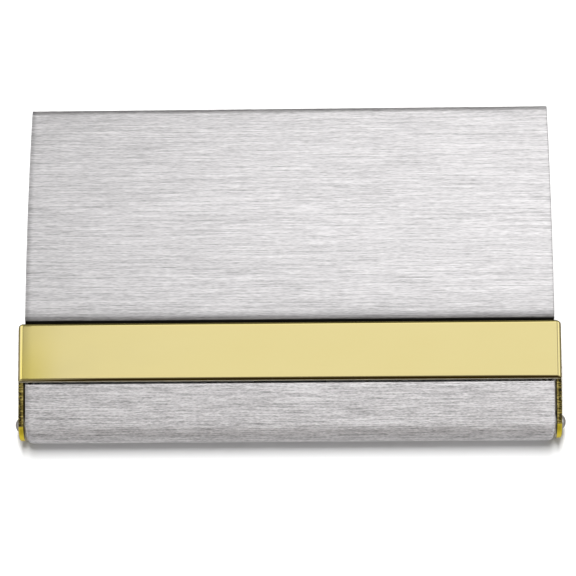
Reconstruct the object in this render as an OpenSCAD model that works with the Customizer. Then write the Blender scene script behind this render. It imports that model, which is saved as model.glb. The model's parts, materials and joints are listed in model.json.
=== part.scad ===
/* [Case] */
// Width of the lid across its side lips
lid_w = 94; // [92:0.5:104]
// Width of the base shell
base_w = 93.8; // [91.8:0.5:103.8]
// Depth from the rolled front edge to the back lip
case_d = 61; // [58:0.5:68]
// Radius of the rolled front edge, at whose centre the lid turns
roll_r = 3.25; // [3.1:0.05:3.6]
// Radius of the arch of the top, front to back
arch_r = 150; // [130:5:220]
// Distance from the hinge axis back to the highest line of the arch
arch_back = 30; // [28:0.5:32]
// Radius of the upright front corners of the base
corner_r = 1.2; // [0.8:0.1:2]

/* [Sheets] */
// Thickness of the base shell
base_t = 0.5; // [0.4:0.05:0.6]
// Thickness of the outer lid plate
lid_t = 0.4; // [0.3:0.05:0.5]
// Thickness of the inner lid pan
pan_t = 0.4; // [0.3:0.05:0.5]
// Thickness of the card tray
tray_t = 0.4; // [0.3:0.05:0.5]
// Radius of the long side edges of the lid plate
lid_edge_r = 0.4; // [0.2:0.05:0.5]
// Radius of the back edge of the lid plate
lid_back_r = 0.7; // [0.4:0.05:1]

/* [Hinge strap] */
// Width across the outer faces of the two arms
strap_w = 96.3; // [96.2:0.1:96.6]
// Thickness of the strap
strap_t = 0.95; // [0.8:0.05:1.1]
// Height of the strap's face above the lid plate
strap_rise = 0.55; // [0.4:0.05:0.6]
// Distance from the hinge axis to the front edge of the strap
strap_front = 7; // [6.8:0.1:8]
// Distance from the hinge axis to the rear edge of the strap
strap_rear = 17.2; // [16:0.1:20]
// Outer radius of the bends between the strap and its arms
bend_r = 1; // [0.8:0.05:1.2]
// Distance from the hinge axis to the rear edge of the base's front panel
panel_rear = 6.5; // [6.2:0.1:6.6]
// Gap between the strap's rear edge and the lid plate
plate_gap = 0.3; // [0.2:0.05:0.5]

/* [Hinge rivets] */
// Radius of the rivet shank
shank_r = 1; // [0.8:0.05:1.2]
// Radius of the domed head
head_r = 1.3; // [1.25:0.05:1.5]
// Height of the domed head
head_h = 0.8; // [0.4:0.05:0.9]
// Radius of the friction, backing and spacer washers
washer_r = 2.1; // [1.8:0.1:2.2]

/* [Inside] */
// Width of the leaf spring that lifts the cards
leaf_w = 13; // [8:1:20]
// Height of the leaf spring's tip above the tray floor
leaf_rise = 3.2; // [2:0.1:3.4]
// Thickness of the leaf spring
leaf_t = 0.25; // [0.2:0.05:0.3]
// Width of the thumb recess in the back of the base and the tray
thumb_w = 18; // [14:1:24]
// Depth of the thumb recess
thumb_d = 2; // [1:0.25:2.25]

/* [Hidden] */

// The hinge axis runs along X through this point, and profiles are drawn about it as (y, z).
hinge_y = roll_r - case_d / 2;
hinge_z = roll_r;
// The arch's centre lies below, so that the arch runs into the front roll without a corner.
arch_down = sqrt(pow(arch_r - roll_r, 2) - pow(arch_back, 2));
back = case_d - roll_r;
lip_gap = 0.2;
slack = 0.01;
far = 40;
arch_fn = 720;
round_fn = 64;

// Sheets are stacked inward from the top of the arch.
pan_r = arch_r - lid_t;
strap_r = arch_r + strap_rise;
strap_under_r = strap_r - strap_t;
arm_drop = 0.05;
arm_inset = arch_r - strap_r + bend_r + arm_drop;
pan_w = lid_w - 2 * lid_t;
arm_in = strap_w / 2 - strap_t;

// The base stays within one circle about the hinge, and the lid stays outside a larger one.
base_sweep = norm([panel_rear, arch_z(panel_rear, arch_r)]);
lid_sweep = norm([strap_front, arch_z(strap_front, strap_under_r)]);

// Arms narrow towards the back, from below the hinge to just under the lid's lips.
arm_taper_front = 3;
arm_rear_z = -0.5;

// The tray lies on the shell's floor and is open at the top.
tray_w = pan_w - 2 * pan_t - 0.4;
tray_front = 4.5;
tray_back = back - lid_t - pan_t - 0.25;
tray_floor = base_t - roll_r;
tray_top = 2.05;

// The hinge's small parts, from the base wall inward.
wall_in = base_w / 2 - base_t;
cheek_t = 0.6;
cheek_r = 2.4;
cheek_back = 4.2;
friction_t = 0.25;
backing_t = 0.3;
tail_t = 0.4;
tail_r = 1.5;
spacer_t = arm_in - base_w / 2 - 0.05;
arm_bore_r = shank_r + 0.05;
head_in = strap_w / 2 + 0.03;
head_sphere_r = (pow(head_r, 2) + pow(head_h, 2)) / (2 * head_h);

// The leaf is flat under its rivets and then bends up along one large arc.
leaf_z = tray_floor + tray_t;
leaf_foot = 8;
leaf_bend = 17;
leaf_run = 33;
leaf_r = (pow(leaf_run, 2) + pow(leaf_rise, 2)) / (2 * leaf_rise);
leaf_end_angle = asin(leaf_run / leaf_r);
leaf_tip_r = 1.6;
leaf_tip_angle = 55;
leaf_tip_lap = 2;
leaf_rivet_r = 0.8;
leaf_rivet_head_r = 1.4;
leaf_rivet_head_h = 0.4;
leaf_rivet_sphere_r = (pow(leaf_rivet_head_r, 2) + pow(leaf_rivet_head_h, 2)) / (2 * leaf_rivet_head_h);
leaf_rivet_y = 12;
leaf_rivet_x = 3.5;

// Four studs on the strap's underside are peened over below the pan.
stud_y = (strap_front + strap_rear) / 2;
stud_tilt = asin((arch_back - stud_y) / arch_r);
stud_xs = [-36, -12, 12, 36];
stud_r = 0.8;
stud_head_r = 1.3;
stud_head_h = 0.3;

steel = [0.76, 0.76, 0.77];
bright = [0.82, 0.82, 0.84];
gold = [0.86, 0.72, 0.36];
spring_steel = [0.55, 0.56, 0.58];

// Height above the hinge axis of an arch of radius r, at distance y behind the axis.
function arch_z(y, r) = sqrt(pow(r, 2) - pow(y - arch_back, 2)) - arch_down;

// Puts what is drawn about the hinge axis in its place in the case.
module at_hinge() {
    translate([0, hinge_y, hinge_z])
        children();
}

// Extrudes a (y, z) profile across the case, from x0 to x1.
module across(x0, x1) {
    translate([x0, 0, 0])
        rotate([90, 0, 90])
            linear_extrude(height = x1 - x0)
                children();
}

// Turns a profile of (radius, x) about the arch's own axis.
module around_arch() {
    translate([0, arch_back, -arch_down])
        rotate([0, 90, 0])
            rotate_extrude($fn = arch_fn)
                children();
}

module arch_disk(r) {
    translate([arch_back, -arch_down])
        circle(r = r, $fn = arch_fn);
}

// Side profile of the closed case, set inward by inset: front roll, arch, back and flat floor.
module case_outline(inset) {
    roll_top = 2 * roll_r / (arch_r - roll_r) * [-arch_back, arch_down];
    circle(r = roll_r - inset, $fn = round_fn);
    intersection() {
        arch_disk(arch_r - inset);
        polygon([[0, inset - roll_r], [0, 0], roll_top,
            [back - inset, far], [back - inset, inset - roll_r]]);
    }
}

// Rectangle from (x0, y0) to (x1, y1).
module box2(x0, y0, x1, y1) {
    translate([x0, y0])
        square([x1 - x0, y1 - y0]);
}

// Half section across the case about the arch's axis, with its outer corners rounded.
module rounded_section(w, r, edge_r) {
    inner_r = r - 12;
    box2(inner_r, -w / 2, r - edge_r, w / 2);
    box2(inner_r, edge_r - w / 2, r, w / 2 - edge_r);
    for (side = [-1, 1])
        translate([r - edge_r, side * (w / 2 - edge_r)])
            circle(r = edge_r, $fn = round_fn);
}

// Plan of the base, with rounded front corners.
module base_plan(inset) {
    r = corner_r - inset;
    x = base_w / 2 - inset;
    front = inset - roll_r;
    box2(-x, front + r, x, back - inset);
    box2(r - x, front, x - r, front + 2 * r);
    for (side = [-1, 1])
        translate([side * (x - r), front + r])
            circle(r = r, $fn = round_fn);
}

// Everything inside the plan of the base, over the whole height.
module plan_prism(inset) {
    translate([0, 0, -far])
        linear_extrude(height = 2 * far)
            base_plan(inset);
}

// Cylinder about the hinge axis from x0 to x1.
module hinge_cylinder(r, x0, x1) {
    translate([x0, 0, 0])
        rotate([0, 90, 0])
            cylinder(r = r, h = x1 - x0, $fn = round_fn);
}

// Ring about the hinge axis, from x0 to x1, that fits the rivet's shank.
module washer(x0, x1) {
    difference() {
        hinge_cylinder(washer_r, x0, x1);
        hinge_cylinder(shank_r + slack, x0 - 1, x1 + 1);
    }
}

// Round-bottomed scoop that cuts the thumb recess into an upper edge at height z.
module thumb_scoop(z) {
    r = (pow(thumb_w / 2, 2) + pow(thumb_d, 2)) / (2 * thumb_d);
    translate([0, back - 4, z + r - thumb_d])
        rotate([-90, 0, 0])
            cylinder(r = r, h = 8, $fn = 180);
}

module base_shell() {
    color(steel)
        at_hinge()
            difference() {
                intersection() {
                    across(-base_w / 2, base_w / 2)
                        intersection() {
                            case_outline(0);
                            union() {
                                box2(-far, -far, 2 * far, -lip_gap / 2);
                                circle(r = base_sweep, $fn = round_fn);
                            }
                        }
                    plan_prism(0);
                }
                intersection() {
                    across(-wall_in, wall_in)
                        case_outline(base_t);
                    plan_prism(base_t);
                }
                hinge_cylinder(shank_r + slack, -far * 2, far * 2);
                thumb_scoop(-lip_gap / 2);
            }
}

// Cheek plate that stiffens the end wall around the right-hand rivet.
module hinge_plate() {
    color(spring_steel)
        at_hinge()
            difference() {
                across(wall_in - cheek_t, wall_in) {
                    circle(r = cheek_r, $fn = round_fn);
                    box2(0, -cheek_r, cheek_back, cheek_r);
                }
                hinge_cylinder(shank_r + slack, 0, far * 2);
            }
}

module card_tray() {
    color(bright)
        at_hinge()
            difference() {
                across(-tray_w / 2, tray_w / 2)
                    box2(tray_front, tray_floor, tray_back, tray_top);
                across(tray_t - tray_w / 2, tray_w / 2 - tray_t)
                    box2(tray_front + tray_t, tray_floor + tray_t, tray_back - tray_t, far);
                thumb_scoop(tray_top);
                leaf_rivet_places()
                    cylinder(r = leaf_rivet_r, h = 2, center = true, $fn = round_fn);
            }
}

// Side profile of the leaf spring: foot, rising arc and turned-down tip.
module leaf_profile() {
    tip_centre = [leaf_bend, leaf_z + leaf_r]
        + (leaf_r + leaf_tip_r - leaf_t) * [sin(leaf_end_angle), -cos(leaf_end_angle)];
    box2(leaf_foot, leaf_z, leaf_bend, leaf_z + leaf_t);
    intersection() {
        translate([leaf_bend, leaf_z + leaf_r])
            difference() {
                circle(r = leaf_r, $fn = arch_fn);
                circle(r = leaf_r - leaf_t, $fn = arch_fn);
            }
        translate([leaf_bend, leaf_z + leaf_r])
            polygon([[0, 0], [0, -1.1 * leaf_r], [1.1 * leaf_r * tan(leaf_end_angle), -1.1 * leaf_r]]);
    }
    translate(tip_centre)
        rotate([0, 0, leaf_end_angle])
            intersection() {
                difference() {
                    circle(r = leaf_tip_r, $fn = round_fn);
                    circle(r = leaf_tip_r - leaf_t, $fn = round_fn);
                }
                polygon([[0, 0], 2 * leaf_tip_r * [-tan(leaf_tip_lap), 1],
                    2 * leaf_tip_r * [tan(leaf_tip_angle), 1]]);
            }
}

// Places of the two rivets that hold the leaf spring's foot.
module leaf_rivet_places() {
    for (side = [-1, 1])
        translate([side * leaf_rivet_x, leaf_rivet_y, leaf_z])
            children();
}

module card_spring() {
    color(spring_steel)
        at_hinge()
            difference() {
                across(-leaf_w / 2, leaf_w / 2)
                    leaf_profile();
                leaf_rivet_places()
                    cylinder(r = leaf_rivet_r, h = 2, center = true, $fn = round_fn);
            }
}

module card_spring_rivets() {
    color(bright)
        at_hinge()
            leaf_rivet_places() {
                translate([0, 0, -tray_t])
                    cylinder(r = leaf_rivet_r, h = tray_t + leaf_t + leaf_rivet_head_h / 2, $fn = round_fn);
                intersection() {
                    translate([0, 0, leaf_t + leaf_rivet_head_h - leaf_rivet_sphere_r])
                        sphere(r = leaf_rivet_sphere_r, $fn = round_fn);
                    translate([0, 0, leaf_t])
                        cylinder(r = 2 * leaf_rivet_head_r, h = 1, $fn = round_fn);
                }
            }
}

// Rivet of the right-hand side: domed head, shank and peened tail, turned about the hinge axis.
module hinge_rivet() {
    tail_in = wall_in - cheek_t - friction_t - backing_t - tail_t;
    color(bright)
        at_hinge()
            rotate([0, 90, 0])
                rotate_extrude($fn = round_fn) {
                    box2(0, tail_in, shank_r, head_in + head_h / 2);
                    box2(0, tail_in, tail_r, tail_in + tail_t);
                    intersection() {
                        translate([0, head_in + head_h - head_sphere_r])
                            circle(r = head_sphere_r, $fn = 4 * round_fn);
                        box2(0, head_in, 2 * head_r, head_in + 1);
                    }
                }
}

module spacer_washer() {
    color(bright)
        at_hinge()
            washer(base_w / 2, base_w / 2 + spacer_t);
}

module friction_washer() {
    color(spring_steel)
        at_hinge()
            washer(wall_in - cheek_t - friction_t, wall_in - cheek_t);
}

module backing_washer() {
    color(bright)
        at_hinge()
            washer(wall_in - cheek_t - friction_t - backing_t, wall_in - cheek_t - friction_t);
}

// Side profile of the lid plate, with its back edge rounded.
module lid_outline() {
    edge = [back - lid_back_r, arch_z(back - lid_back_r, arch_r - lid_back_r)];
    out = (edge - [arch_back, -arch_down]) / (arch_r - lid_back_r);
    front = strap_rear + plate_gap;
    translate(edge)
        circle(r = lid_back_r, $fn = round_fn);
    intersection() {
        arch_disk(arch_r);
        polygon([[front, lip_gap / 2], [back, lip_gap / 2], [back, edge[1]], edge,
            edge + 2 * out, [front, far]]);
    }
}

module lid_plate() {
    color(steel)
        at_hinge()
            difference() {
                intersection() {
                    around_arch()
                        rounded_section(lid_w, arch_r, lid_edge_r);
                    across(-lid_w, lid_w)
                        lid_outline();
                }
                across(-pan_w / 2, pan_w / 2)
                    intersection() {
                        arch_disk(pan_r);
                        box2(-far, -far, back - lid_t, far);
                    }
            }
}

// Places of the strap's studs, each turned to stand square to the arch.
module stud_places() {
    for (x = stud_xs)
        translate([x, arch_back, -arch_down])
            rotate([stud_tilt, 0, 0])
                children();
}

module lid_pan() {
    color(bright)
        at_hinge()
            difference() {
                across(-pan_w / 2, pan_w / 2)
                    difference() {
                        intersection() {
                            arch_disk(pan_r);
                            box2(strap_front + plate_gap, lip_gap / 2, back - lid_t, far);
                        }
                        circle(r = lid_sweep, $fn = round_fn);
                    }
                across(pan_t - pan_w / 2, pan_w / 2 - pan_t)
                    intersection() {
                        arch_disk(pan_r - pan_t);
                        box2(-far, -far, back - lid_t - pan_t, far);
                    }
                stud_places()
                    translate([0, 0, pan_r - 2])
                        cylinder(r = stud_r, h = 4, $fn = round_fn);
            }
}

// Outline of an arm and the strap above it: round end about the rivet, tapering underside.
module strap_outline() {
    intersection() {
        arch_disk(strap_r);
        box2(strap_front, 0, strap_rear, far);
    }
    intersection() {
        case_outline(arm_inset);
        polygon([[-far, -far], [arm_taper_front, -far], [arm_taper_front, arm_inset - roll_r],
            [strap_rear, arm_rear_z], [strap_rear, far], [-far, far]]);
    }
}

module hinge_strap() {
    color(gold)
        at_hinge()
            difference() {
                intersection() {
                    around_arch()
                        rounded_section(strap_w, strap_r, bend_r);
                    across(-strap_w, strap_w)
                        strap_outline();
                }
                across(-arm_in, arm_in)
                    arch_disk(strap_under_r);
                hinge_cylinder(arm_bore_r, -far * 2, far * 2);
            }
}

module strap_studs() {
    color(gold)
        at_hinge()
            stud_places()
                translate([0, 0, pan_r - pan_t - slack]) {
                    cylinder(r = stud_r, h = pan_t, $fn = round_fn);
                    translate([0, 0, -stud_head_h])
                        cylinder(r = stud_head_r, h = stud_head_h, $fn = round_fn);
                }
}

base_shell();
mirror([1, 0, 0]) hinge_plate();  // left_hinge_plate
hinge_plate();  // right_hinge_plate
card_tray();
card_spring();
card_spring_rivets();
mirror([1, 0, 0]) hinge_rivet();  // left_hinge_rivet
hinge_rivet();  // right_hinge_rivet
mirror([1, 0, 0]) spacer_washer();  // left_spacer_washer
spacer_washer();  // right_spacer_washer
mirror([1, 0, 0]) friction_washer();  // left_friction_washer
friction_washer();  // right_friction_washer
mirror([1, 0, 0]) backing_washer();  // left_backing_washer
backing_washer();  // right_backing_washer
lid_plate();
lid_pan();
hinge_strap();
strap_studs();
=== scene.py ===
"""Looks of the business card case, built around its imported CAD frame."""

import json
import math
from collections import namedtuple

import bmesh
import bpy
from mathutils import Matrix, Vector


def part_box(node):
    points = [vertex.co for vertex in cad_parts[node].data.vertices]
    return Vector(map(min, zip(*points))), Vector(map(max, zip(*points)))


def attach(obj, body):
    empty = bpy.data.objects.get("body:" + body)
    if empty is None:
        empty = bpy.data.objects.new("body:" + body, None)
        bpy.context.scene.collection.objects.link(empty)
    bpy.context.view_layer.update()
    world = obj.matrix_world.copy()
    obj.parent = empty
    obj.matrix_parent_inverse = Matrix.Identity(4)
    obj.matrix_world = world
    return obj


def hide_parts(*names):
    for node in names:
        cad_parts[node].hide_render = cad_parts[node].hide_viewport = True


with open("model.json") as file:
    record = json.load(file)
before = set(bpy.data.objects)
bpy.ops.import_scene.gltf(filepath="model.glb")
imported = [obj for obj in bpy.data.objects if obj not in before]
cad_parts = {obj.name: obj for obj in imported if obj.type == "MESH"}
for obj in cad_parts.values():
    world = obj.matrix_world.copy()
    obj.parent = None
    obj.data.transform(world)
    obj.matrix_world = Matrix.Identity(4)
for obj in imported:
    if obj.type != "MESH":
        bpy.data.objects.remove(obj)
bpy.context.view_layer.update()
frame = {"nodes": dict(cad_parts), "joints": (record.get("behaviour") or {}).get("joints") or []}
MM = 0.001

# ---------------------------------------------------------------- sizes, from the frame
HINGE = Vector(frame["joints"][0]["pos_m"])
ROLL_R = HINGE.z
SHELL_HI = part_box("base_shell")[1]
PLATE_LO, PLATE_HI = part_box("lid_plate")
PAN_LO, PAN_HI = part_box("lid_pan")
TRAY_LO, TRAY_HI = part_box("card_tray")
STRAP_LO, STRAP_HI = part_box("hinge_strap")
RIVET_LO, RIVET_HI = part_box("right_hinge_rivet")

# The arch runs into the front roll, and its highest line lies this far behind the hinge.
ARCH_BACK = 30 * MM
ARCH_TOP = PLATE_HI.z - HINGE.z
ARCH_R = (ARCH_TOP**2 + ARCH_BACK**2 - ROLL_R**2) / (2 * (ARCH_TOP - ROLL_R))
ARCH_Y = HINGE.y + ARCH_BACK
ARCH_Z = PLATE_HI.z - ARCH_R
ROLL_END = math.atan2(HINGE.z - ARCH_Z, HINGE.y - ARCH_Y)

# Sheets, and the rounding of the base's folds, ends and front corners.
SHELL_T = 0.5 * MM
SHEET_T = 0.36 * MM
SHELL_FOLD_R = 0.6 * MM
SHELL_END_R = 0.3 * MM
SHELL_CORNER_R = 1.2 * MM
SHELL_RIM = HINGE.z - 0.1 * MM

# The base's front panel dips a little at its rear edge.
PANEL_REAR = HINGE.y + 6.5 * MM
PANEL_DIP = 0.07 * MM
PANEL_DIP_RUN = 0.9 * MM

# The strap: a band that stands above the lid, bent down into an arm at each end.
STRAP_T = 0.95 * MM
STRAP_RISE = 0.55 * MM
STRAP_BEND = 1.0 * MM
STRAP_FRONT = HINGE.y + 6.9 * MM
STRAP_REAR = HINGE.y + 17.2 * MM
ARM_INSET = STRAP_BEND - STRAP_RISE
ARM_REAR = STRAP_REAR - 0.35 * MM
ARM_TAPER_Y = HINGE.y + 3 * MM
ARM_REAR_Z = HINGE.z - 0.5 * MM

# The band's outer edges are rounded in full, and the arms' and the inner face's by a share of it.
STRAP_ROUND = 0.6 * MM
ARM_ROUND_SHARE = 0.5
INNER_ROUND_SHARE = 0.2

# The seam between the strap and the lid plate.
SEAM_Y = STRAP_REAR + 0.08 * MM

# The lid's pan lies inside the arch. The front ends of its side walls are cut round, to swing past
# the base's ends: the cut meets the pan's top at PAN_SWEEP_Y, and moves the mesh over PAN_SWEEP_RUN.
PAN_INSET = 0.4 * MM
PAN_SWEEP_Y = HINGE.y + 7 * MM
PAN_SWEEP_RUN = 4 * MM

# The recess at the back that lets a thumb lift the lid.
THUMB_HALF = 9 * MM
THUMB_DEEP = 2 * MM

# Spacing of the sheets' mesh across and along the case, and where rows cross a folded wall.
MESH_PITCH_X = 1.5 * MM
MESH_PITCH_Y = 0.9 * MM
WALL_LEVELS = (0.34, 0.67, 1.0)
SMOOTH_DEG = 35

# A rounded edge: how far it runs in, how far it drops, its steps, and the degrees it turns.
Fillet = namedtuple("Fillet", "run drop steps sweep", defaults=(90,))


def arch_height(y, inset=0.0):
    """Height of the arch at y, for a surface set inward by inset."""
    return ARCH_Z + math.sqrt((ARCH_R - inset) ** 2 - (y - ARCH_Y) ** 2)


def spread(start, end, count):
    """count + 1 evenly spaced values from start to end."""
    return [start + (end - start) * i / count for i in range(count + 1)]


def thumb_dip(x):
    """How far the thumb recess lowers a back rim at x."""
    radius = (THUMB_HALF**2 + THUMB_DEEP**2) / (2 * THUMB_DEEP)
    inside = max(radius**2 - x * x, 0)
    return max(0.0, math.sqrt(inside) - (radius - THUMB_DEEP))


# ---------------------------------------------------------------- mesh helpers
def mesh_object(name, bm, faces_up=None):
    """Makes an object of a bmesh. faces_up says which way its middle face has to look."""
    if faces_up is None:
        bmesh.ops.recalc_face_normals(bm, faces=bm.faces)
    else:
        bm.normal_update()
        flattest = max(bm.faces, key=lambda f: abs(f.normal.z) * f.calc_area())
        if (flattest.normal.z > 0) != faces_up:
            bmesh.ops.reverse_faces(bm, faces=bm.faces)
    mesh = bpy.data.meshes.new(name)
    bm.to_mesh(mesh)
    bm.free()
    piece = bpy.data.objects.new(name, mesh)
    bpy.context.scene.collection.objects.link(piece)
    mesh.shade_smooth()
    mesh.set_sharp_from_angle(angle=math.radians(SMOOTH_DEG))
    return piece


def grid_faces(bm, rows, closed=False):
    """Joins rows of vertices, all of one length, with quads."""
    for near, far in zip(rows, rows[1:]):
        count = len(near)
        for i in range(count if closed else count - 1):
            j = (i + 1) % count
            bm.faces.new((near[i], near[j], far[j], far[i]))


def add_modifier(piece, kind, name, **values):
    modifier = piece.modifiers.new(name, kind)
    for key, value in values.items():
        setattr(modifier, key, value)
    return modifier


def thicken(piece, thickness):
    """Gives an open surface, whose normals point outward, its sheet thickness."""
    add_modifier(piece, "SOLIDIFY", "sheet", thickness=thickness, offset=-1.0, use_rim=True,
                 use_even_offset=False)


def finish_edges(piece, width, angle=40):
    """Rounds a piece's edges that turn by more than angle degrees, and keeps its flat faces flat."""
    add_modifier(piece, "BEVEL", "edges", width=width, segments=2, limit_method="ANGLE",
                 angle_limit=math.radians(angle), use_clamp_overlap=True, miter_outer="MITER_ARC")
    keep_flat(piece)


def keep_flat(piece):
    """Weights a piece's normals by area, so that rounded edges leave its flat faces flat."""
    add_modifier(piece, "WEIGHTED_NORMAL", "normals", keep_sharp=True, weight=60)


def finish_sheet(piece, thickness=SHEET_T, edge=0.07 * MM):
    """Makes an open surface a sheet with eased edges."""
    thicken(piece, thickness)
    finish_edges(piece, edge, angle=55)


def fillet_stops(edge, inward, fillet):
    """(position, drop) pairs from an edge inward over a rounded edge."""
    start = math.radians(90 - fillet.sweep)
    return [(edge + inward * fillet.run * (math.cos(start) - math.cos(a)), fillet.drop * (1 - math.sin(a)))
            for a in spread(start, math.pi / 2, fillet.steps)]


def stops(low, high, low_fillet, high_fillet, pitch):
    """Positions and drops across a face, from one rounded edge to the other."""
    first = fillet_stops(low, 1, low_fillet)
    last = fillet_stops(high, -1, high_fillet)[::-1]
    start, end = first[-1][0], last[0][0]
    inner = spread(start, end, max(2, round((end - start) / pitch)))
    return first + [(p, 0.0) for p in inner[1:-1]] + last


def dished_sheet(name, low, high, face, rim, side, front, back, down=True, dip=None, front_wall=False):
    """A sheet with walls folded along its edges: a lid if they go down, a tray if they go up.

    face(y) is the height of its flat, and rim the height its walls end at. side, front and back are
    the fillets of its edges, and dip(x) lowers its back rim. It has walls on the left, the right and
    the back, and with front_wall at the front as well."""
    sign = 1 if down else -1
    xs = stops(low.x, high.x, side, side, MESH_PITCH_X)
    ys = stops(low.y, high.y, front, back, MESH_PITCH_Y)
    bm = bmesh.new()
    rows = [[bm.verts.new((x, y, face(y) - sign * (dx + dy))) for x, dx in xs] for y, dy in ys]
    grid_faces(bm, rows)
    left = [row[0] for row in rows]
    right = [row[-1] for row in rows]
    edge = left + rows[-1][1:-1] + right[::-1]
    if front_wall:
        edge += rows[0][1:-1][::-1]
    levels = [edge]
    for share in WALL_LEVELS:
        level = []
        for v in edge:
            on_back = dip is not None and v.co.y > high.y - 1e-7
            end = rim - (dip(v.co.x) if on_back else 0)
            level.append(bm.verts.new((v.co.x, v.co.y, v.co.z + (end - v.co.z) * share)))
        levels.append(level)
    grid_faces(bm, levels, closed=front_wall)
    return mesh_object(name, bm, faces_up=down)


# ---------------------------------------------------------------- material helpers
# One layer of brushing: its stretch along the grain, its pitch across it per metre, and its share.
Streak = namedtuple("Streak", "stretch pitch detail share")
STREAKS = (
    Streak(stretch=0.13, pitch=5200, detail=1.0, share=0.75),
    Streak(stretch=0.4, pitch=6100, detail=1.0, share=0.75),
    Streak(stretch=2.0, pitch=7400, detail=1.0, share=0.95),
    Streak(stretch=0.25, pitch=1300, detail=2.0, share=0.24),
    Streak(stretch=0.12, pitch=150, detail=1.5, share=0.10),
)
# Colour of the painted dark reflection on the band's rolled front edge.
GOLD_DARK_REFLECTION = (0.07, 0.04, 0.003)


class Nodes:
    """A node tree, with short ways to add to it."""

    def __init__(self, tree):
        self.tree = tree
        self.tree.nodes.clear()

    def link(self, source, target):
        self.tree.links.new(source, target)

    def fill(self, socket, value):
        """Links a socket to another, or gives it a value."""
        if isinstance(value, bpy.types.NodeSocket):
            self.link(value, socket)
        else:
            socket.default_value = value

    def node(self, kind, inputs=None, **settings):
        made = self.tree.nodes.new(kind)
        for key, value in settings.items():
            setattr(made, key, value)
        for key, value in (inputs or {}).items():
            self.fill(made.inputs[key], value)
        return made

    def math(self, operation, a, b=0.0, clamp=False):
        return self.node("ShaderNodeMath", {0: a, 1: b}, operation=operation, use_clamp=clamp).outputs[0]

    def product(self, first, *others):
        for other in others:
            first = self.math("MULTIPLY", first, other)
        return first

    def total(self, first, *others):
        for other in others:
            first = self.math("ADD", first, other)
        return first

    def inverse(self, value):
        return self.math("SUBTRACT", 1.0, value)

    def ramp(self, value, low, high, out_low=0.0, out_high=1.0):
        """value mapped smoothly from low..high to out_low..out_high, and held there beyond."""
        return self.node("ShaderNodeMapRange", {"Value": value, "From Min": low, "From Max": high,
                         "To Min": out_low, "To Max": out_high}, interpolation_type="SMOOTHSTEP").outputs[0]

    def mix(self, factor, a, b):
        """A colour from a to b."""
        made = self.node("ShaderNodeMix", data_type="RGBA")
        self.fill(made.inputs[0], factor)
        for socket, colour in ((made.inputs[6], a), (made.inputs[7], b)):
            self.fill(socket, colour if isinstance(colour, bpy.types.NodeSocket) else (*colour, 1))
        return made.outputs[2]

    def noise(self, vector, detail=2.0, roughness=0.5):
        return self.node("ShaderNodeTexNoise", {"Vector": vector, "Scale": 1.0, "Detail": detail,
                         "Roughness": roughness}).outputs[0]

    def centred(self, value):
        """A 0..1 value moved to lie about 0."""
        return self.math("SUBTRACT", value, 0.5)

    def scaled(self, vector, x, y, z):
        return self.node("ShaderNodeVectorMath", {0: vector, 1: (x, y, z)}, operation="MULTIPLY").outputs[0]

    def split(self, vector):
        """A vector's x, y and z."""
        return self.node("ShaderNodeSeparateXYZ", {0: vector}).outputs

    def join(self, x, y=0.0, z=0.0):
        return self.node("ShaderNodeCombineXYZ", {0: x, 1: y, 2: z}).outputs[0]

    def blend(self, factor, a, b):
        """A number from a to b."""
        return self.node("ShaderNodeMix", {0: factor, 2: a, 3: b}).outputs[0]


class Shader(Nodes):
    """A surface material. place and facing are the point and the normal, in the object's frame."""

    def __init__(self, name):
        self.material = bpy.data.materials.new(name)
        self.material.use_nodes = True
        super().__init__(self.material.node_tree)
        self.surface = self.node("ShaderNodeBsdfPrincipled")
        output = self.node("ShaderNodeOutputMaterial")
        self.link(self.surface.outputs[0], output.inputs["Surface"])
        coords = self.node("ShaderNodeTexCoord").outputs
        self.point = coords["Object"]
        self.place = self.split(coords["Object"])
        self.facing = self.split(coords["Normal"])

    def set(self, **values):
        """Sets or links the surface's sockets; a double underscore stands for a space."""
        for key, value in values.items():
            self.fill(self.surface.inputs[key.replace("__", " ")], value)

    def bump(self, height, strength, distance):
        made = self.node("ShaderNodeBump", {"Height": height, "Strength": strength, "Distance": distance})
        self.set(Normal=made.outputs[0])


def brushing(s, side, short, seed):
    """Fine streaks about 0, across the case where side is 0 and along its side walls where it is 1."""
    x, y, z = s.place
    along = s.blend(side, x, y)
    across = s.blend(side, y, x)
    shift = s.noise(s.scaled(s.join(along, across, z), 70, 130, 130), detail=1.0)
    drift = s.product(s.centred(shift), 0.6 * MM)
    grain = s.join(s.total(along, seed), s.total(across, drift), z)
    streak = 0.0
    for layer in STREAKS:
        pattern = s.noise(s.scaled(grain, layer.stretch * short, layer.pitch, layer.pitch),
                          detail=layer.detail, roughness=0.6)
        streak = s.total(streak, s.product(s.centred(pattern), layer.share))
    return streak


def worn_ends(s, half_width):
    """Darkening of a sheet's ragged ends, half_width from the middle. It is narrower on the right."""
    ragged = s.noise(s.scaled(s.point, 900, 3200, 900), roughness=0.7)
    from_end = s.math("SUBTRACT", half_width, s.math("ABSOLUTE", s.place[0]))
    narrower = s.ramp(s.place[0], 0, 20 * MM, 0.0, 0.7 * MM)
    from_end = s.total(from_end, narrower, s.product(s.centred(ragged), 1.2 * MM))
    return s.ramp(from_end, -0.1 * MM, 1.2 * MM, 0.36, 0.0)


def seam_painted_shade(s, seam_y, top):
    """Painted shade behind a seam: the shadow line in the seam itself, painted shade on the edge that rolls
    into it, and a faint painted shade further back.
    """
    y = s.place[1]
    seam = s.ramp(y, seam_y + 0.64 * MM, seam_y + 0.40 * MM)
    near = s.ramp(y, seam_y + 2.1 * MM, seam_y + 0.75 * MM)
    faint_shade = s.ramp(y, seam_y + 5 * MM, seam_y + 1 * MM)
    return [s.product(mask, share, top) for mask, share in ((seam, 0.97), (near, 0.48), (faint_shade, 0.10))]


def back_edge_painted_shade(s, back_y):
    """Painted shade on the rounded back edge, where it turns towards the dark back of the room."""
    return s.ramp(s.place[1], back_y - 1.1 * MM, back_y - 0.4 * MM, 0.0, 0.45)


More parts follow.
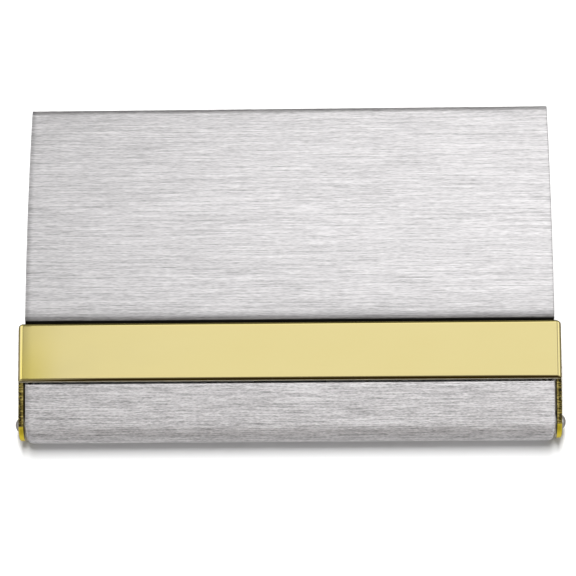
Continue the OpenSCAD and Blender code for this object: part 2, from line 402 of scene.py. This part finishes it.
def arm_gap_painted_shade(s, gap_shade_y, side):
    """Painted shade on the side walls in front of gap_shade_y, above the hinge, standing in for the shadow in
    the narrow gap by the arms.
    """
    front = s.ramp(s.place[1], gap_shade_y + 1 * MM, gap_shade_y, 0.0, 0.68)
    return s.product(side, front, s.ramp(s.place[2], HINGE.z - 0.4 * MM, HINGE.z))


def brushed_steel(name, tint, roughness, contrast, short, half_width=None, seed=0.0, seam_y=None,
                  back_y=None, gap_shade_y=None):
    """Brushed steel sheet. Where they are given, it is darker at its worn, ragged ends, half_width from the
    middle, and carries painted shade at its seam, on its back edge and on its side walls in the gap by
    the arms. short is how short the streaks are."""
    s = Shader(name)
    side = s.ramp(s.math("ABSOLUTE", s.facing[0]), 0.8, 0.95)
    top = s.inverse(side)
    streak = brushing(s, side, short, seed)
    shade = s.total(s.product(streak, contrast), 1.0)
    # Darkenings: wear at the ends, and painted shade at the seam, the back edge and the gap by the arms.
    shades = []
    if half_width is not None:
        shades.append(worn_ends(s, half_width))
    if seam_y is not None:
        shades += seam_painted_shade(s, seam_y, top)
    if back_y is not None:
        shades.append(back_edge_painted_shade(s, back_y))
    if gap_shade_y is not None:
        shades.append(arm_gap_painted_shade(s, gap_shade_y, side))
    for darker in shades:
        shade = s.product(shade, s.inverse(darker))
    colour = s.node("ShaderNodeVectorMath", {0: tint, "Scale": shade}, operation="SCALE").outputs[0]
    s.set(Base__Color=colour, Metallic=1.0, Anisotropic=0.85, Anisotropic__Rotation=0.25,
          Tangent=s.join(top, side),
          Roughness=s.math("ADD", s.product(streak, 0.12), roughness, clamp=True))
    s.bump(streak, 0.2, 0.012 * MM)
    return s.material


def front_painted_reflection(s):
    """Where the band's rolled front edge gets a painted dark reflection of the room in front, which thins out
    towards the left end.
    """
    forward = s.product(s.facing[1], -1.0)
    fade = s.ramp(s.place[0], STRAP_LO.x + 16 * MM, STRAP_LO.x + 1 * MM, 0.0, 0.30)
    upper = s.ramp(s.math("SUBTRACT", forward, fade), 0.34, 0.48)
    lower = s.ramp(forward, 0.93, 0.86)
    on_band = s.ramp(s.place[1], STRAP_FRONT - 0.15 * MM, STRAP_FRONT - 0.05 * MM)
    return s.product(upper, lower, on_band)


def deep_end(s):
    """Where the band's left end is a deeper gold, most of all at the front."""
    end = s.ramp(s.place[0], STRAP_LO.x + 9 * MM, STRAP_LO.x + 0.6 * MM)
    upward = s.ramp(s.facing[2], 0.80, 0.97)
    return s.product(end, upward, s.ramp(s.place[1], STRAP_REAR - 1 * MM, STRAP_FRONT + 1 * MM, 0.4, 1.0))


def polished_gold(name):
    """Gold plating polished to a mirror, with faint polishing marks and a trace of handling."""
    s = Shader(name)
    swirl = s.noise(s.scaled(s.point, 900, 240, 240))
    film = s.noise(s.scaled(s.point, 60, 120, 120))
    hair = s.ramp(s.noise(s.scaled(s.point, 300, 9000, 9000), detail=1.0), 0.68, 0.8)
    # Painted shade on the band's rear-facing edge.
    rear = s.ramp(s.facing[1], 0.15, 0.30)
    colour = s.mix(film, (0.590, 0.505, 0.228), (0.620, 0.535, 0.258))
    colour = s.mix(s.product(deep_end(s), 0.8), colour, (0.59, 0.49, 0.118))
    colour = s.mix(rear, colour, (0.28, 0.235, 0.052))
    # Painted dark reflection on the rolled front edge.
    colour = s.mix(front_painted_reflection(s), colour, GOLD_DARK_REFLECTION)
    s.set(Base__Color=colour, Metallic=1.0,
          Roughness=s.total(s.ramp(film, 0.3, 0.7, 0.09, 0.13), s.product(hair, 0.12)))
    s.bump(s.total(s.product(swirl, 0.5), s.product(hair, -0.4)), 0.05, 0.008 * MM)
    return s.material


def torn_arms(s):
    """Where the arms' upper edges are torn: from the band forward to the round front ends."""
    behind_tip = s.ramp(s.place[1], HINGE.y - 0.9 * MM, HINGE.y - 0.6 * MM)
    before_band = s.ramp(s.place[1], STRAP_FRONT + 0.1 * MM, STRAP_FRONT - 0.1 * MM)
    upper = s.ramp(s.place[2], HINGE.z + 1.2 * MM, HINGE.z + 1.5 * MM)
    return s.product(before_band, behind_tip, upper)


def painted_front_sheen(s):
    """Where the band's front edge stands upright, with a painted pale reflection of the lit panel before it,
    and duller than the plating.
    """
    upright = s.ramp(s.facing[1], -0.88, -0.95)
    inside = s.ramp(s.math("ABSOLUTE", s.place[0]), STRAP_HI.x, STRAP_HI.x - 1 * MM)
    on_band = s.ramp(s.place[1], STRAP_FRONT - 0.5 * MM, STRAP_FRONT - 0.2 * MM)
    return s.product(upright, inside, on_band)


def sheared_gold(name):
    """The strap's cut edge: polished on the band and round the ends, torn and dark along the arms."""
    s = Shader(name)
    torn = torn_arms(s)
    grit = s.noise(s.scaled(s.point, 2600, 3400, 2000), detail=3.0, roughness=0.7)
    tear = s.noise(s.scaled(s.point, 900, 4600, 900), detail=1.0)
    dark = s.ramp(s.total(s.product(grit, 0.45), s.product(tear, 0.55)), 0.46, 0.62)
    outer = s.ramp(s.math("ABSOLUTE", s.place[0]), STRAP_HI.x - 0.72 * MM, STRAP_HI.x - 0.48 * MM)
    inner_colour = s.mix(dark, (0.15, 0.11, 0.02), (0.48, 0.39, 0.13))
    outer_colour = s.mix(dark, (0.010, 0.006, 0.001), (0.27, 0.21, 0.04))
    torn_colour = s.mix(outer, inner_colour, outer_colour)
    tip = s.product(s.ramp(s.place[1], HINGE.y + 0.5 * MM, HINGE.y), s.inverse(torn))
    front_sheen = painted_front_sheen(s)
    whole_colour = s.mix(tip, (0.60, 0.515, 0.24), (0.92, 0.73, 0.06))
    # Painted dark reflection on the rolled front edge.
    whole_colour = s.mix(front_painted_reflection(s), whole_colour, GOLD_DARK_REFLECTION)
    # Painted pale reflection on the upright front edge.
    whole_colour = s.mix(front_sheen, whole_colour, (1.0, 0.98, 0.86))
    matt = s.total(s.product(tip, 0.26), s.product(front_sheen, 0.40))
    s.set(Base__Color=s.mix(torn, whole_colour, torn_colour), Metallic=s.ramp(torn, 0, 1, 1.0, 0.75),
          Roughness=s.total(s.ramp(torn, 0, 1, 0.12, 0.5), matt))
    s.bump(s.product(s.total(grit, tear), torn), 0.9, 0.08 * MM)
    return s.material


def turned_steel(name, tint, roughness):
    """Polished small steel parts, with faint rings about the hinge axis."""
    s = Shader(name)
    away_y = s.math("SUBTRACT", s.place[1], HINGE.y)
    away_z = s.math("SUBTRACT", s.place[2], HINGE.z)
    radius = s.math("SQRT", s.total(s.product(away_y, away_y), s.product(away_z, away_z)))
    rings = s.noise(s.join(s.product(radius, 9000)), detail=1.0)
    stain = s.noise(s.scaled(s.point, 900, 900, 900))
    s.set(Base__Color=s.mix(stain, [c * 0.82 for c in tint], tint), Metallic=1.0,
          Roughness=s.total(s.product(rings, 0.1), roughness))
    s.bump(rings, 0.12, 0.01 * MM)
    return s.material


def plain_steel(name, tint, roughness):
    """Mill-finish sheet for inside parts, lightly rolled along the case."""
    s = Shader(name)
    rolled = s.noise(s.scaled(s.point, 300, 2600, 2600), roughness=0.6)
    blotch = s.noise(s.scaled(s.point, 120, 160, 160))
    s.set(Base__Color=s.mix(rolled, [c * 0.84 for c in tint], tint), Metallic=1.0,
          Roughness=s.total(s.product(blotch, 0.14), roughness))
    s.bump(rolled, 0.12, 0.01 * MM)
    return s.material


# ---------------------------------------------------------------- pieces
def lid_plate():
    low = Vector((PLATE_LO.x, SEAM_Y, 0))
    high = Vector((PLATE_HI.x, PLATE_HI.y, 0))
    piece = dished_sheet("brushed_lid_plate", low, high, arch_height, PLATE_LO.z,
                         side=Fillet(0.2 * MM, 0.2 * MM, 5),
                         front=Fillet(1.6 * MM, 1.05 * MM, 10, 52),
                         back=Fillet(0.9 * MM, 0.2 * MM, 8))
    finish_sheet(piece)
    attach(piece, "lid")
    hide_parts("lid_plate")
    return piece


def cut_wall_ends(piece, front):
    """Rounds the front ends of the pan's side walls, which start at front."""
    reach = math.hypot(PAN_SWEEP_Y - HINGE.y, arch_height(PAN_SWEEP_Y, PAN_INSET) - HINGE.z)
    for v in piece.data.vertices:
        push = HINGE.y + math.sqrt(reach**2 - min(reach, v.co.z - HINGE.z) ** 2) - front
        v.co.y += max(0.0, push) * max(0.0, 1 - (v.co.y - front) / PAN_SWEEP_RUN)


def lid_pan():
    low = Vector((PAN_LO.x, PAN_LO.y, 0))
    high = Vector((PAN_HI.x, PAN_HI.y, 0))
    piece = dished_sheet("inner_lid_pan", low, high, lambda y: arch_height(y, PAN_INSET), PAN_LO.z,
                         side=Fillet(0.5 * MM, 0.5 * MM, 5),
                         front=Fillet(0.6 * MM, 0.6 * MM, 4, 30),
                         back=Fillet(1.0 * MM, 0.5 * MM, 6))
    cut_wall_ends(piece, low.y)
    finish_sheet(piece)
    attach(piece, "lid")
    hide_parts("lid_pan")
    return piece


def card_tray():
    low = Vector((TRAY_LO.x, TRAY_LO.y, 0))
    high = Vector((TRAY_HI.x, TRAY_HI.y, 0))
    corner = Fillet(0.8 * MM, 0.8 * MM, 6)
    piece = dished_sheet("pressed_card_tray", low, high, lambda y: TRAY_LO.z, TRAY_HI.z, side=corner,
                         front=corner, back=corner, down=False, dip=thumb_dip, front_wall=True)
    finish_sheet(piece)
    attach(piece, "base")
    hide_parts("card_tray")
    return piece


def shell_path(rim):
    """Side profile of the base from the back rim round to the front panel's rear edge.

    Each stop is (y, z, inward y, inward z, end radius): the base's ends are rounded by the end
    radius, which grows round the front roll."""
    fold = SHELL_FOLD_R
    path = [(SHELL_HI.y, z, -1, 0, SHELL_END_R) for z in spread(rim, fold, 4)[:-1]]
    for a in spread(0, -math.pi / 2, 6):
        out = (math.cos(a), math.sin(a))
        path.append((SHELL_HI.y - fold * (1 - out[0]), fold * (1 + out[1]), -out[0], -out[1], SHELL_END_R))
    path += [(y, 0.0, 0, 1, SHELL_END_R) for y in spread(SHELL_HI.y - fold, HINGE.y, 36)[1:-1]]
    for a in spread(3 * math.pi / 2, ROLL_END, 40):
        out = (math.cos(a), math.sin(a))
        swell = max(0.0, -out[0]) ** 2
        path.append((HINGE.y + ROLL_R * out[0], HINGE.z + ROLL_R * out[1], -out[0], -out[1],
                     SHELL_END_R + (SHELL_CORNER_R - SHELL_END_R) * swell))
    for y in spread(path[-1][0], PANEL_REAR, 22)[1:]:
        z = arch_height(y) - PANEL_DIP * max(0.0, 1 - (PANEL_REAR - y) / PANEL_DIP_RUN) ** 2
        path.append((y, z, (ARCH_Y - y) / ARCH_R, (ARCH_Z - z) / ARCH_R, SHELL_END_R))
    return path


def shell_rows(bm):
    """The base's profile at each station from its left end to its right, rounded at both ends."""
    corner = spread(0, math.pi / 2, 7)
    middle = spread(-1, 1, 62)[1:-1]
    stations = [(-1, a) for a in corner] + [(t, None) for t in middle] + [(1, a) for a in corner[::-1]]
    rows = []
    for where, a in stations:
        row = []
        x_mid = where * (SHELL_HI.x - SHELL_CORNER_R)
        dip = thumb_dip(x_mid) if a is None else 0.0
        for y, z, ny, nz, r in shell_path(SHELL_RIM - dip):
            if a is None:
                row.append(bm.verts.new((x_mid, y, z)))
            else:
                inset = r * (1 - math.sin(a))
                x = where * (SHELL_HI.x - r * (1 - math.cos(a)))
                row.append(bm.verts.new((x, y + ny * inset, z + nz * inset)))
        rows.append(row)
    return rows


def close_end(bm, row):
    """The base's flat end, cut round the hinge from the front panel down to the rim."""
    last = row[-1].co
    sweep_r = math.hypot(PANEL_REAR - HINGE.y, arch_height(PANEL_REAR) - HINGE.z)
    first_angle = math.atan2(last.z - HINGE.z, last.y - HINGE.y)
    last_angle = math.asin((SHELL_RIM - HINGE.z) / sweep_r)
    notch = [bm.verts.new((last.x, HINGE.y + sweep_r * math.cos(a), HINGE.z + sweep_r * math.sin(a)))
             for a in spread(first_angle, last_angle, 12)[1:]]
    bm.faces.new(row + notch)


def base_shell():
    bm = bmesh.new()
    rows = shell_rows(bm)
    grid_faces(bm, rows)
    close_end(bm, rows[0])
    close_end(bm, rows[-1])
    bmesh.ops.recalc_face_normals(bm, faces=bm.faces)
    piece = mesh_object("brushed_base_shell", bm, faces_up=False)
    finish_sheet(piece, SHELL_T, edge=0.08 * MM)
    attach(piece, "base")
    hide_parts("base_shell")
    return piece


def strap_band(bm, inward):
    """Rows of the band's outer face with its two bends. inward gets each point's way into the sheet."""
    half = STRAP_HI.x
    bend = [(half - STRAP_BEND * (1 - math.sin(a)), a) for a in spread(math.pi / 2, 0, 10)]
    flat = [(x, 0.0) for x in spread(half - STRAP_BEND, STRAP_BEND - half, 60)[1:-1]]
    section = bend + flat + [(-x, -a) for x, a in bend[::-1]]
    rows = []
    for y in spread(STRAP_FRONT, STRAP_REAR, 16):
        row = []
        for x, a in section:
            bent = 1 - math.cos(a)
            along = y - (STRAP_REAR - ARM_REAR) * bent * (y - STRAP_FRONT) / (STRAP_REAR - STRAP_FRONT)
            made = bm.verts.new((x, along, arch_height(along, -STRAP_RISE) - STRAP_BEND * bent))
            inward[made] = Vector((-math.sin(a), 0, -math.cos(a)))
            row.append(made)
        rows.append(row)
    return rows


def arm_outline():
    """An arm's outline below the band: down its rear, along its taper, round the rivet and back up."""
    arm_r = ROLL_R - ARM_INSET
    taper_drop = HINGE.z - arm_r - ARM_REAR_Z
    taper_run = ARM_REAR - ARM_TAPER_Y
    outline = [(ARM_REAR, z) for z in spread(arch_height(ARM_REAR, ARM_INSET), ARM_REAR_Z, 4)[1:]]
    outline += [(y, ARM_REAR_Z + taper_drop * (ARM_REAR - y) / taper_run)
                for y in spread(ARM_REAR, ARM_TAPER_Y, 10)[1:]]
    outline += [(HINGE.y + arm_r * math.cos(a), HINGE.z + arm_r * math.sin(a))
                for a in spread(3 * math.pi / 2, ROLL_END, 36)]
    outline += [(y, arch_height(y, ARM_INSET)) for y in spread(outline[-1][0], STRAP_FRONT, 12)[1:-1]]
    return outline


def give_strap_thickness(bm, inward):
    """Adds the strap's inner face and its cut edge, and weighs how far each edge is rounded."""
    roundness = bm.edges.layers.float["bevel_weight_edge"]
    outer = bm.faces[:]
    border = [e for e in bm.edges if len(e.link_faces) == 1]
    under = {v: bm.verts.new(v.co + direction * STRAP_T) for v, direction in inward.items()}
    for f in outer:
        bm.faces.new([under[v] for v in reversed(f.verts)])
    for e in border:
        rim = bm.faces.new((e.verts[0], e.verts[1], under[e.verts[1]], under[e.verts[0]]))
        rim.material_index = 1
        middle = (e.verts[0].co + e.verts[1].co) / 2
        bent = max(0.0, (abs(middle.x) - STRAP_HI.x + STRAP_BEND) / STRAP_BEND)
        e[roundness] = 1.0 - (1.0 - ARM_ROUND_SHARE) * bent
        bm.edges.get((under[e.verts[0]], under[e.verts[1]]))[roundness] = INNER_ROUND_SHARE


def hinge_strap():
    """The gold band with its two arms: one bent sheet, polished round, torn along the arms' tops."""
    bm = bmesh.new()
    bm.edges.layers.float.new("bevel_weight_edge")
    inward = {}
    rows = strap_band(bm, inward)
    grid_faces(bm, rows)
    for end, side in ((0, 1), (-1, -1)):
        chain = [row[end] for row in rows]
        around = [bm.verts.new((side * STRAP_HI.x, y, z)) for y, z in arm_outline()]
        inward.update({v: Vector((-side, 0, 0)) for v in around})
        bm.faces.new(chain + around)
    give_strap_thickness(bm, inward)
    piece = mesh_object("gold_hinge_strap", bm)
    piece.data.materials.append(polished_gold("gold_polish"))
    piece.data.materials.append(sheared_gold("gold_cut_edge"))
    add_modifier(piece, "BEVEL", "rounded edges", width=STRAP_ROUND, segments=6, limit_method="WEIGHT",
                 use_clamp_overlap=False)
    keep_flat(piece)
    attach(piece, "lid")
    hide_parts("hinge_strap")
    return piece


def lathe(name, profile, centre, count=48):
    """Turns (radius, x) points about the X axis through centre; both ends lie on the axis."""
    bm = bmesh.new()
    rings = []
    for radius, x in profile[1:-1]:
        rings.append([bm.verts.new((x, centre.y + radius * math.cos(a), centre.z + radius * math.sin(a)))
                      for a in spread(0, 2 * math.pi, count)[:-1]])
    grid_faces(bm, rings, closed=True)
    for (_, x), ring in ((profile[0], rings[0]), (profile[-1], rings[-1])):
        tip = bm.verts.new((x, centre.y, centre.z))
        for i in range(count):
            bm.faces.new((tip, ring[i], ring[(i + 1) % count]))
    return mesh_object(name, bm)


def hinge_rivet(side, name, node):
    """Domed head outside the arm, shank through the hinge, peened tail inside the roll."""
    outer, inner = RIVET_HI.x, RIVET_LO.x
    head_r, lip = 1.3 * MM, 0.1 * MM
    arm_gap = 0.03 * MM
    head_h = outer - STRAP_HI.x - arm_gap
    shank_r = 1.0 * MM
    tail_r, tail_t = 1.5 * MM, 0.4 * MM
    tail_ease, tail_round = 0.1 * MM, 0.25 * MM
    dome_r = (head_r**2 + (head_h - lip) ** 2) / (2 * (head_h - lip))
    reach = math.asin(head_r / dome_r)
    profile = [(0, outer)]
    profile += [(dome_r * math.sin(a), outer - dome_r * (1 - math.cos(a))) for a in spread(0, reach, 12)[1:]]
    profile += [(head_r, outer - head_h), (shank_r, outer - head_h), (shank_r, inner + tail_t)]
    profile += [(tail_r - tail_ease, inner + tail_t), (tail_r, inner + tail_t - tail_ease)]
    profile += [(tail_r - tail_round, inner), (0, inner)]
    piece = lathe(name, [(r, side * x) for r, x in profile], HINGE)
    finish_edges(piece, 0.04 * MM)
    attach(piece, "base")
    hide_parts(node)
    return piece


# ---------------------------------------------------------------- materials on pieces
lid_steel = brushed_steel("brushed_lid_steel", (0.700, 0.688, 0.696), roughness=0.38, contrast=1.1, short=400,
                          half_width=PLATE_HI.x, seam_y=SEAM_Y, back_y=PLATE_HI.y)
shell_steel = brushed_steel("brushed_shell_steel", (0.732, 0.716, 0.724), roughness=0.46, contrast=1.45,
                            short=700, half_width=SHELL_HI.x, seed=0.31, gap_shade_y=STRAP_FRONT)
inner_steel = brushed_steel("satin_inner_steel", (0.80, 0.80, 0.805), roughness=0.34, contrast=0.4, short=200,
                            seed=0.17)
rivet_steel = turned_steel("rivet_steel_polish", (0.72, 0.71, 0.70), 0.16)
spring_steel = plain_steel("spring_steel_dull", (0.36, 0.37, 0.39), 0.30)
washer_steel = turned_steel("washer_steel_satin", (0.62, 0.62, 0.62), 0.28)
stud_gold = plain_steel("stud_gold_satin", (0.68, 0.56, 0.24), 0.22)

lid_plate().data.materials.append(lid_steel)
base_shell().data.materials.append(shell_steel)
lid_pan().data.materials.append(inner_steel)
card_tray().data.materials.append(inner_steel)
hinge_strap()
hinge_rivet(-1, "left_domed_rivet", "left_hinge_rivet").data.materials.append(rivet_steel)
hinge_rivet(1, "right_domed_rivet", "right_hinge_rivet").data.materials.append(rivet_steel)

CARRIED = {"card_spring": spring_steel, "card_spring_rivets": rivet_steel, "strap_studs": stud_gold}
for hand in ("left", "right"):
    CARRIED[hand + "_hinge_plate"] = spring_steel
    CARRIED[hand + "_spacer_washer"] = washer_steel
    CARRIED[hand + "_friction_washer"] = spring_steel
    CARRIED[hand + "_backing_washer"] = washer_steel
for node_name, material in CARRIED.items():
    kept = frame["nodes"][node_name]
    kept.data.materials.clear()
    kept.data.materials.append(material)
    add_modifier(kept, "WELD", "weld", merge_threshold=1e-6)
    finish_edges(kept, 0.03 * MM, angle=50)


# ---------------------------------------------------------------- floor, light and camera
def pale_floor(half=3.0):
    """A plain pale floor that the case's reflections leave out."""
    mesh = bpy.data.meshes.new("floor")
    corners = [(-half, -half, 0), (half, -half, 0), (half, half, 0), (-half, half, 0)]
    mesh.from_pydata(corners, [], [(0, 1, 2, 3)])
    floor = bpy.data.objects.new("floor", mesh)
    bpy.context.scene.collection.objects.link(floor)
    pale = Shader("pale_floor")
    pale.set(Base__Color=(0.93, 0.93, 0.93, 1), Roughness=0.9, Specular__IOR__Level=0.0)
    mesh.materials.append(pale.material)
    floor.visible_glossy = False


# How bright the room is, and what its soft boxes and its dark cards add to it.
ROOM_LEVEL = 0.48
OVERHEAD_LEVEL = 0.62
STRIP_LEVEL = 0.85
FRONT_CARD_LEVEL = -0.22
BACK_CARD_LEVEL = -0.26
WORLD_STRENGTH = 1.2


def studio_world():
    """A dim room with a large soft box overhead and one strip of light on each side."""
    world = bpy.data.worlds.new("studio")
    bpy.context.scene.world = world
    world.use_nodes = True
    s = Nodes(world.node_tree)
    x, y, z = s.split(s.node("ShaderNodeTexCoord").outputs["Generated"])
    back_tilt = s.math("ARCTAN2", y, z)
    side_tilt = s.math("ARCTAN2", x, z)

    def rise(value, low, high, out_low=0.0, out_high=1.0):
        """A ramp over an angle, in degrees."""
        return s.ramp(value, math.radians(low), math.radians(high), out_low, out_high)

    def window(value, low, high, soft):
        """1 between low and high degrees, fading out over soft degrees beyond them."""
        return s.product(rise(value, low - soft, low), rise(value, high + soft, high))

    # The overhead box ends softly on the right and sharply on the left, and grows brighter
    # towards the back and the right.
    sides = s.product(window(side_tilt, -8.0, 90, 1.5), window(side_tilt, -90, 19, 10))
    overhead = s.product(window(back_tilt, -19, 49, 3), sides)
    behind = s.product(rise(back_tilt, 0, 20, 1.0, 1.12), rise(back_tilt, 22, 34, 1.0, 1.4))
    beside = rise(side_tilt, 6, 14, 1.0, 1.18)
    overhead = s.product(overhead, s.product(behind, beside))

    strip_back = window(back_tilt, -12, 60, 10)
    left_strip = s.product(window(side_tilt, -74, -28, 6), strip_back)
    right_strip = s.product(window(side_tilt, 46, 76, 6), strip_back)

    # Dark cards stand in front and behind, and the floor shows below the horizon.
    card_side = window(side_tilt, -40, 40, 10)
    front_card = s.product(window(back_tilt, -86, -24, 4), card_side)
    back_card = s.product(window(back_tilt, 52, 88, 5), card_side)
    floor_below = s.ramp(z, 0.05, -0.1)
    floor_level = s.ramp(y, -0.2, -0.7, 0.27, 0.55)
    room = s.total(s.product(front_card, FRONT_CARD_LEVEL), s.product(back_card, BACK_CARD_LEVEL), ROOM_LEVEL)
    room = s.total(s.product(room, s.inverse(floor_below)), s.product(floor_level, floor_below))

    strips = s.product(s.total(left_strip, right_strip), STRIP_LEVEL)
    level = s.total(room, s.product(overhead, OVERHEAD_LEVEL), strips)
    # Dim light is warmer.
    colour = s.mix(s.ramp(level, 0.0, 0.45), (1.0, 0.85, 0.76), (1.0, 1.0, 1.0))
    strength = s.product(level, WORLD_STRENGTH)
    background = s.node("ShaderNodeBackground", {"Color": colour, "Strength": strength})
    output = s.node("ShaderNodeOutputWorld")
    s.link(background.outputs[0], output.inputs["Surface"])
    world.cycles_visibility.diffuse = False


def area_light(name, place, aim, width, height, watts):
    data = bpy.data.lights.new(name, "AREA")
    data.shape = "RECTANGLE"
    data.size, data.size_y, data.energy = width, height, watts
    light = bpy.data.objects.new(name, data)
    bpy.context.scene.collection.objects.link(light)
    light.location = place
    light.rotation_euler = (Vector(aim) - Vector(place)).to_track_quat("-Z", "Y").to_euler()
    light.visible_glossy = False


def camera_at(azimuth, elevation, roll, distance, aim, lens):
    """A camera that looks at aim, turned by roll degrees about its line of sight."""
    azimuth, elevation = math.radians(azimuth), math.radians(elevation)
    backward = Vector((math.sin(azimuth) * math.cos(elevation), -math.cos(azimuth) * math.cos(elevation),
                       math.sin(elevation)))
    right = Vector((0, 0, 1)).cross(backward).normalized()
    up = backward.cross(right)
    turn = Matrix.Rotation(math.radians(roll), 3, backward)
    axes = Matrix((turn @ right, turn @ up, backward)).transposed()
    data = bpy.data.cameras.new("camera")
    data.sensor_width = 36
    data.lens = lens
    data.clip_start = 10 * MM
    camera = bpy.data.objects.new("camera", data)
    bpy.context.scene.collection.objects.link(camera)
    camera.matrix_world = Matrix.Translation(aim + backward * distance) @ axes.to_4x4()
    bpy.context.scene.camera = camera


pale_floor()
studio_world()
area_light("key", place=(0.0, 0.385, 0.92), aim=(0, -0.02, 0), width=0.20, height=0.66, watts=12.4)
area_light("fill", place=(0.0, 0.0, 1.2), aim=(0, 0, 0), width=1.6, height=1.6, watts=6.9)
camera_at(azimuth=6.54, elevation=75.91, roll=-6.82, distance=400 * MM,
          aim=HINGE + Vector((-0.29, 24.89, 0)) * MM, lens=138.3)
bpy.context.scene.view_settings.view_transform = "Standard"
